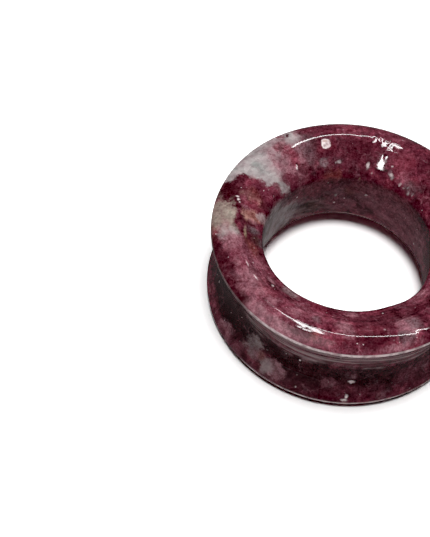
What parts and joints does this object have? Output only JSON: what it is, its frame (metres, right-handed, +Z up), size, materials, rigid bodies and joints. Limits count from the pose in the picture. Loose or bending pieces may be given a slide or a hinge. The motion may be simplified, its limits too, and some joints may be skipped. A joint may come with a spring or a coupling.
{
  "type": "stone flesh tunnel",
  "caption": "Polished stone ring with flared, dished faces and a round hole, worn in a stretched ear lobe that sits in the shallow groove between the flares.",
  "frame": {"origin": "middle of the base, where the ring's lower crest stands on the surface that it lies on", "axes": "+Z up along the hole, from the face that the ring lies on to the face that shows; the ring is round about Z, and -Y is the side nearest the viewer"},
  "size_m": [0.0335, 0.0334, 0.0132],
  "materials": {
    "stone": "high polish, mottled burgundy, mauve and grey-white"
  },
  "bodies": {
    "root": {"tunnel": "stone"}
  },
  "joints": []
}
